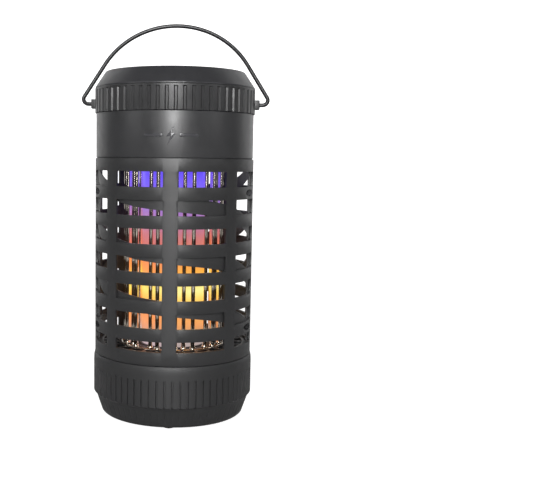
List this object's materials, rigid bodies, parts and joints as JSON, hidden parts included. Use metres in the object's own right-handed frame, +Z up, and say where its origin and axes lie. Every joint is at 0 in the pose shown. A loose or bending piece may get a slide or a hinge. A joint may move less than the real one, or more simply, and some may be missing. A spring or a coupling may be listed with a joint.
{
  "type": "electric bug zapper",
  "caption": "Lantern-shaped electric insect killer: slotted cage round a high-voltage grid and light tube, with a folding bail and a twist-off cup.",
  "frame": {"origin": "on the standing plane, at the axis of the round body", "axes": "+Z up along the axis of the body, -Y towards the front with the raised emblem, +Y towards the power button, X through the handle pivots"},
  "size_m": [0.1428, 0.1218, 0.2979],
  "materials": {
    "cage_plastic": "satin moulded",
    "liner_plastic": "satin moulded",
    "cup_plastic": "satin moulded",
    "head_plastic": "satin moulded",
    "ring_plastic": "satin moulded",
    "cap_plastic": "satin moulded",
    "button_plastic": "satin moulded",
    "coated_wire": "powder coated",
    "black_screw": "blackened",
    "zinc_screw": "zinc plated",
    "plated_steel": "nickel plated",
    "insulator": "matt moulded",
    "frosted_tube": "frosted translucent",
    "flex_circuit": "white solder mask",
    "flame_led": "clear resin",
    "uv_led": "clear resin",
    "circuit_board": "solder mask",
    "seal_rubber": "matt",
    "battery_sleeve": "shrink sleeve",
    "transformer_wrap": "polyester tape",
    "capacitor_coat": "dipped",
    "lead_sheath": "extruded",
    "solar_cell": "resin coated"
  },
  "bodies": {
    "housing": {"cage_front": "cage_plastic", "cage_rear": "cage_plastic", "swirl_liner_front": "liner_plastic", "swirl_liner_rear": "liner_plastic", "cage_screws": "black_screw", "live_rods": "plated_steel", "ground_rods": "plated_steel", "live_ring": "plated_steel", "ground_ring": "plated_steel", "upper_grid_holder": "insulator", "lower_grid_holder": "insulator", "light_tube": "frosted_tube", "light_core": "flex_circuit", "flame_leds": "flame_led", "uv_led_board": "circuit_board", "uv_leds": "uv_led", "drop_grille": "cage_plastic", "head_housing": "head_plastic", "head_floor": "insulator", "head_screws": "zinc_screw", "tact_switch": "insulator", "switch_board": "circuit_board", "battery_holder": "insulator", "battery_cells": "battery_sleeve", "battery_contacts": "plated_steel", "control_board": "circuit_board", "board_screws": "zinc_screw", "hv_transformer": "transformer_wrap", "hv_capacitors": "capacitor_coat", "control_chips": "insulator", "grid_leads": "lead_sheath", "panel_leads": "lead_sheath", "core_leads": "lead_sheath", "knurled_ring": "ring_plastic", "top_cap": "cap_plastic", "panel_seal": "seal_rubber", "solar_panel": "solar_cell"},
    "handle": {"handle": "coated_wire", "handle_retainers": "plated_steel"},
    "button": {"power_button": "button_plastic", "switch_plunger": "insulator"},
    "cup": {"collection_cup": "cup_plastic", "cup_seal": "seal_rubber", "feet": "seal_rubber"}
  },
  "joints": [
    {"name": "handle_fold", "type": "hinge", "parent": "housing", "child": "handle", "pos_m": [0, 0, 0.2355], "axis": [1, 0, 0], "range_deg": [-75, 105]},
    {"name": "button_press", "type": "slide", "parent": "housing", "child": "button", "axis": [0, -1, 0], "range_m": [0, 0.0012], "stiffness_N_per_m": 600, "springref_m": -0.0005},
    {"name": "cup_twist", "type": "hinge", "parent": "housing", "child": "cup", "pos_m": [0, 0, 0.03], "axis": [0, 0, -1], "range_deg": [0, 30]}
  ]
}
